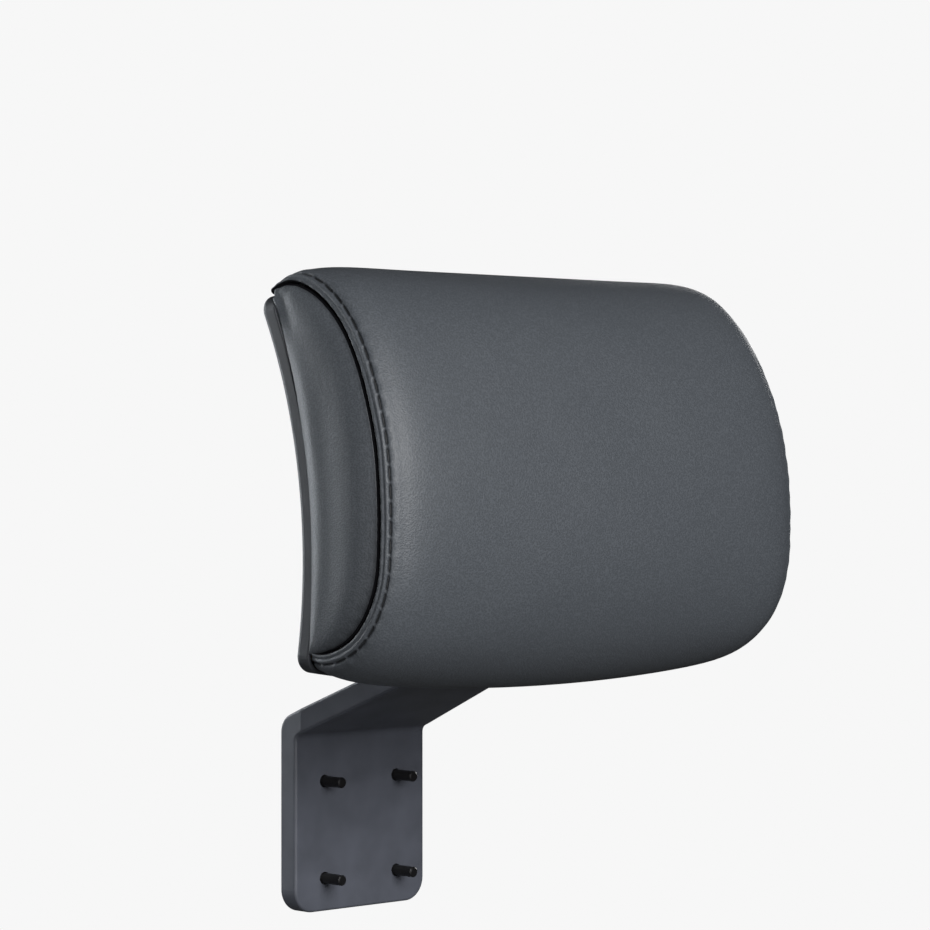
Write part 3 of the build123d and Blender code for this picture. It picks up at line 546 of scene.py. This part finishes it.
def make_side(side, swell, material):
    """A side panel: a pillowed sheet from the seam to its back edge, rolled in at both."""
    share = 0.5 - 0.5 * np.cos(np.pi * np.linspace(0, 1, 30))
    seam_side, back_side = side_plain(np.array([0.0, 1.0])).transpose(1, 0, 2)
    reach = np.linalg.norm(back_side - seam_side, axis=1)
    direction = unit(back_side - seam_side)
    # where the panel is narrow, at its two ends, everything on it gets smaller
    fade = np.clip(reach / FULL_BEAD_REACH, 0, 1)
    room = np.clip(reach / FULL_REACH, 0, 1)[:, None]
    start = seam_side + direction * (GROOVE * fade)[:, None]
    end = back_side - direction * (BACK_GAP * fade)[:, None]
    grid = start[:, None] * (1 - share[None, :, None]) + end[:, None] * share[None, :, None]
    bulge = (1 - (1 - share) ** 6) ** 0.8 * (1 - 0.45 * share**40)
    crown = 0.5 * bump(share, 0.22, 0.2) + 1.6 * bump(share, 0.84, 0.16)
    grid[..., 0] += room * (2.2 * bulge + crown * bulge)[None, :]
    grid = grid + swell(share)
    outward = np.array([1.0, 0, 0])
    normal = unit(grid_normals(grid, outward) + 1e-6 * outward)
    # small puckers along the seam
    d = np.linalg.norm(grid - start[:, None], axis=-1)
    relief = 0.22 * (0.5 - stitch_phase(ALONG[:, None], 1.1)) * bump(d, 0.0, 3.5) * fade[:, None]
    grid = grid + normal * relief[..., None]
    # painted shade: darker beside the seam, and more so low down, where less light gets in
    low = 1 - soft_step(grid[..., 2], 40, 95)
    shade = 0.35 * bump(d, 0.0, 1.4) + 0.34 * bump(d, 0.0, 5.5) * low
    front_roll = rolled_edge(
        grid[:, 0], normal[:, 0], -direction, radius=1.2 * fade, turn=62, flange=6.0 * fade
    )
    back_roll = rolled_edge(
        grid[:, -1], normal[:, -1], direction, radius=1.5 * fade, turn=100, flange=7.0 * fade + 0.5
    )
    grid = np.concatenate([np.stack(front_roll[::-1], 1), grid, np.stack(back_roll, 1)], axis=1)
    # painted shade makes both turned edges dark, but not the back one's first four rows, which are in the
    # open
    painted_shade = np.pad(shade, ((0, 0), (len(front_roll), len(back_roll))), constant_values=1.0)
    painted_shade[:, -len(back_roll) : 4 - len(back_roll)] = 0.0
    keep = slice(ALONG.searchsorted(TRIM_TOP), ALONG.searchsorted(SEAM_LENGTH - TRIM_BOTTOM))
    grid = grid[keep] * np.array([side, 1, 1])
    name = "side_panel_left" if side < 0 else "side_panel_right"
    return leather_sheet(name, grid, material, painted_shade[keep], flip=side > 0)


# ------------------------------------------------------------------ materials
def new_material(name):
    """A material, its node tree and its shader."""
    material = bpy.data.materials.new(name)
    material.use_nodes = True
    tree = material.node_tree
    return material, tree, tree.nodes["Principled BSDF"]


def node(tree, kind, **values):
    """A new node: in_NAME or in_NUMBER sets an input, and any other name a property."""
    made = tree.nodes.new(kind)
    for key, value in values.items():
        if not key.startswith("in_"):
            setattr(made, key, value)
            continue
        socket = key[3:]
        socket = int(socket) if socket.isdigit() else socket.replace("_", " ")
        made.inputs[socket].default_value = value
    return made


def two_tones(tree, source, low, high, stops):
    """A colour that goes from low to high as the source goes from the first stop to the second."""
    ramp = node(tree, "ShaderNodeValToRGB")
    for element, place, colour in zip(ramp.color_ramp.elements, stops, (low, high)):
        element.position = place
        element.color = (*colour, 1)
    tree.links.new(source, ramp.inputs["Fac"])
    return ramp.outputs["Color"]


def leather():
    """Dark grey leather: warped grain cells over slow unevenness, with painted shade that makes it darker
    and duller down in the seams and on its turned edges.
    """
    material, tree, shader = new_material("pu_leather")
    link = tree.links.new
    where = node(tree, "ShaderNodeTexCoord").outputs["Object"]
    warp = node(tree, "ShaderNodeTexNoise", in_Scale=900.0, in_Detail=2.0)
    mix = node(tree, "ShaderNodeVectorMath", operation="MULTIPLY_ADD", in_1=(0.0006, 0.0006, 0.0006))
    cells = node(tree, "ShaderNodeTexVoronoi", feature="SMOOTH_F1", in_Scale=1150.0, in_Smoothness=0.35)
    link(where, warp.inputs["Vector"])
    link(warp.outputs["Color"], mix.inputs[0])
    link(where, mix.inputs[2])
    link(mix.outputs[0], cells.inputs["Vector"])

    fine = node(tree, "ShaderNodeTexNoise", in_Scale=2600.0, in_Detail=3.0)
    height = node(tree, "ShaderNodeMath", operation="MULTIPLY_ADD", in_1=0.35)
    grain = node(tree, "ShaderNodeBump", in_Strength=0.55, in_Distance=0.00022)
    slow = node(tree, "ShaderNodeTexNoise", in_Scale=22.0, in_Detail=3.0)
    soft = node(tree, "ShaderNodeBump", in_Strength=0.35, in_Distance=0.0012)
    link(where, fine.inputs["Vector"])
    link(fine.outputs["Fac"], height.inputs[0])
    link(cells.outputs["Distance"], height.inputs[2])
    link(height.outputs[0], grain.inputs["Height"])
    link(where, slow.inputs["Vector"])
    link(slow.outputs["Fac"], soft.inputs["Height"])
    link(soft.outputs["Normal"], grain.inputs["Normal"])
    link(grain.outputs["Normal"], shader.inputs["Normal"])

    low, high = (0.050, 0.056, 0.064), (0.072, 0.080, 0.091)
    tint = two_tones(tree, cells.outputs["Distance"], low, high, (0.25, 0.75))
    # painted shade: the point attribute mixes the colour towards near black in the seams, stitch channels
    # and turned edges
    painted_shade_fac = node(tree, "ShaderNodeAttribute", attribute_name="painted_seam_shade").outputs["Fac"]
    dark = node(tree, "ShaderNodeMix", data_type="RGBA", in_7=(0.006, 0.006, 0.007, 1))
    link(painted_shade_fac, dark.inputs[0])
    link(tint, dark.inputs[6])
    link(dark.outputs[2], shader.inputs["Base Color"])
    rough = node(tree, "ShaderNodeMapRange", in_To_Min=0.42, in_To_Max=0.58)
    link(slow.outputs["Fac"], rough.inputs["Value"])
    link(rough.outputs["Result"], shader.inputs["Roughness"])
    # the same painted shade also dims the reflections there
    shine = node(tree, "ShaderNodeMath", operation="MULTIPLY_ADD", use_clamp=True, in_1=-0.45, in_2=0.45)
    link(painted_shade_fac, shine.inputs[0])
    link(shine.outputs[0], shader.inputs["Specular IOR Level"])
    return material


def textured(name, low, high, scale, rough, relief, metallic=0.0, stretch=None):
    """A plain finish: two close colours mixed by a slow noise, and a fine one for roughness and relief."""
    material, tree, shader = new_material(name)
    link = tree.links.new
    source = node(tree, "ShaderNodeTexCoord").outputs["Object"]
    if stretch:
        mapping = node(tree, "ShaderNodeMapping", in_Scale=stretch)
        link(source, mapping.inputs["Vector"])
        source = mapping.outputs["Vector"]
    fine = node(tree, "ShaderNodeTexNoise", in_Scale=scale, in_Detail=3.0)
    slow = node(tree, "ShaderNodeTexNoise", in_Scale=scale / 40, in_Detail=2.0)
    spread = node(tree, "ShaderNodeMapRange", in_To_Min=rough[0], in_To_Max=rough[1])
    grain = node(tree, "ShaderNodeBump", in_Strength=0.6, in_Distance=relief)
    link(source, fine.inputs["Vector"])
    link(source, slow.inputs["Vector"])
    link(two_tones(tree, slow.outputs["Fac"], low, high, (0.3, 0.7)), shader.inputs["Base Color"])
    link(fine.outputs["Fac"], spread.inputs["Value"])
    link(spread.outputs["Result"], shader.inputs["Roughness"])
    link(fine.outputs["Fac"], grain.inputs["Height"])
    link(grain.outputs["Normal"], shader.inputs["Normal"])
    shader.inputs["Metallic"].default_value = metallic
    return material


LEATHER = leather()
# by material slot: name, darker and lighter colour, grain scale, roughness from and to, relief in metres
FINISHES = {
    "shell_plastic": textured(
        "moulded_shell", (0.016, 0.017, 0.021), (0.023, 0.025, 0.030), 1800, (0.45, 0.62), 0.00012
    ),
    "arm_metal": textured(
        "powder_coat", (0.060, 0.065, 0.080), (0.078, 0.084, 0.104), 2200, (0.38, 0.55), 0.0001
    ),
    "zinc_steel": textured(
        "zinc_plate", (0.50, 0.50, 0.50), (0.62, 0.61, 0.58), 900, (0.25, 0.40), 0.00003,
        metallic=1.0,
    ),
    "black_steel": textured(
        "black_oxide", (0.020, 0.020, 0.022), (0.035, 0.034, 0.034), 1200, (0.30, 0.45), 0.00003,
        metallic=0.8,
    ),
    "bracket_steel": textured(
        "satin_black", (0.022, 0.023, 0.026), (0.034, 0.035, 0.038), 1500, (0.35, 0.50), 0.00006
    ),
    "slider_plastic": textured(
        "moulded_slider", (0.026, 0.027, 0.030), (0.036, 0.037, 0.041), 2000, (0.42, 0.60), 0.0001
    ),
    "acetal": textured(
        "acetal", (0.68, 0.67, 0.62), (0.76, 0.75, 0.71), 500, (0.30, 0.42), 0.00003
    ),
    "bronze": textured(
        "sintered_bronze", (0.36, 0.24, 0.12), (0.48, 0.34, 0.18), 2500, (0.35, 0.55), 0.00005,
        metallic=1.0,
    ),
    "spring_steel": textured(
        "spring_steel", (0.30, 0.30, 0.32), (0.42, 0.42, 0.43), 700, (0.22, 0.36), 0.00002,
        metallic=1.0,
    ),
    "board": textured(
        "plywood", (0.36, 0.24, 0.13), (0.58, 0.42, 0.25), 420, (0.55, 0.75), 0.0003,
        stretch=(0.08, 1, 1),
    ),
    "foam": textured(
        "pu_foam", (0.70, 0.64, 0.48), (0.80, 0.75, 0.60), 1400, (0.85, 0.98), 0.0006
    ),
}
THREAD = textured("thread", (0.009, 0.010, 0.011), (0.018, 0.019, 0.021), 4000, (0.5, 0.7), 0.0001)

SLOT_OF = {part["node"]: part["material_slot"] for part in frame["record"]["subparts"]}
for name, obj in NODES.items():
    finish = FINISHES.get(SLOT_OF[name], LEATHER)
    for k in range(len(obj.material_slots)):
        obj.material_slots[k].link = "OBJECT"
        obj.material_slots[k].material = finish
    if not obj.material_slots:
        obj.data.materials.append(finish)


# ------------------------------------------------------------------ soft pieces
swell_front, swell_side = make_swell()
cover, topstitch = make_front(swell_front, LEATHER)
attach(topstitch, "headrest")
foam = make_foam(swell_front, FINISHES["foam"])
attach(foam, "headrest")
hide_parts("foam_core")
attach(cover, "headrest")
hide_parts("front_cover")
for side, name in ((-1, "left"), (1, "right")):
    panel = make_side(side, swell_side, LEATHER)
    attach(panel, "headrest")
    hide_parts(f"side_gusset_{name}")


# ------------------------------------------------------------------ stage, lights and camera
# in metres
PAD_CENTRE = (0.0, -0.13, 0.18)
BACKDROP = (0.93, 0.93, 0.93, 1)
# in millimetres
FLOOR_Z = -950.0
FLOOR_HALF = 40000.0


def look(obj, direction):
    """Turns a light or a camera that way."""
    obj.rotation_euler = Vector(direction).to_track_quat("-Z", "Y").to_euler()


def area_light(name, place, size, power, colour=(1, 1, 1)):
    """A rectangular soft light that faces the pad."""
    data = bpy.data.lights.new(name, "AREA")
    data.shape = "RECTANGLE"
    data.size, data.size_y = size
    data.energy = power
    data.color = colour
    light = bpy.data.objects.new(name, data)
    bpy.context.scene.collection.objects.link(light)
    light.location = place
    look(light, Vector(PAD_CENTRE) - Vector(place))


def seen_apart(tree, lighting, seen, surface):
    """Lights the object by one shader, and shows the camera the other one itself."""
    path = node(tree, "ShaderNodeLightPath")
    mix = node(tree, "ShaderNodeMixShader")
    tree.links.new(path.outputs["Is Camera Ray"], mix.inputs[0])
    tree.links.new(lighting.outputs[0], mix.inputs[1])
    tree.links.new(seen.outputs[0], mix.inputs[2])
    tree.links.new(mix.outputs[0], surface)


def make_stage():
    """A plain pale floor, which throws little light back up."""
    corners = [(x * FLOOR_HALF, y * FLOOR_HALF, FLOOR_Z) for x, y in ((-1, -1), (1, -1), (1, 1), (-1, 1))]
    floor = add_mesh("floor", np.array(corners), [(0, 1, 2, 3)], origin=0.0)
    material, tree, shader = new_material("pale_floor")
    shader.inputs["Base Color"].default_value = (0.08, 0.08, 0.08, 1)
    shader.inputs["Roughness"].default_value = 0.9
    glow = node(tree, "ShaderNodeEmission", in_Color=BACKDROP)
    seen_apart(tree, shader, glow, tree.nodes["Material Output"].inputs["Surface"])
    floor.data.materials.append(material)


def make_world():
    """A near-white surround to look at, and one to light by that goes from dark below to soft above."""
    world = bpy.data.worlds.new("studio")
    bpy.context.scene.world = world
    world.use_nodes = True
    tree = world.node_tree
    lit = tree.nodes["Background"]
    where = node(tree, "ShaderNodeTexCoord")
    split = node(tree, "ShaderNodeSeparateXYZ")
    heights = {"in_From_Min": -0.28, "in_From_Max": 0.7}
    ramp = node(tree, "ShaderNodeMapRange", in_To_Min=0.0, in_To_Max=0.66, **heights)
    tree.links.new(where.outputs["Generated"], split.inputs[0])
    tree.links.new(split.outputs["Z"], ramp.inputs["Value"])
    tree.links.new(ramp.outputs["Result"], lit.inputs["Strength"])
    seen = node(tree, "ShaderNodeBackground", in_Color=BACKDROP, in_Strength=1.0)
    seen_apart(tree, lit, seen, tree.nodes["World Output"].inputs["Surface"])


def make_camera():
    """The camera, level with the pad and in front of it at the left."""
    data = bpy.data.cameras.new("camera")
    data.lens = 129.4
    data.sensor_width = 36.0
    data.clip_end = 200
    camera = bpy.data.objects.new("camera", data)
    bpy.context.scene.collection.objects.link(camera)
    camera.location = (-1.1680, -1.2874, 0.1928)
    look(camera, (0.6947, 0.7193, -0.0030))
    bpy.context.scene.camera = camera
    bpy.context.scene.view_settings.view_transform = "Standard"


make_stage()
make_world()
# name, place and size in metres, power in watts, colour
area_light("key", (-0.66, -2.66, 1.10), (1.8, 1.6), 113)
area_light("fill", (-2.3, -0.9, -0.25), (0.9, 0.7), 11)
area_light("side", (2.3, 1.2, 0.5), (1.0, 1.0), 15)
area_light("rim", (-0.55, 1.75, 0.5), (0.4, 1.2), 26, (0.90, 0.95, 1.0))
make_camera()

bpy.context.view_layer.update()
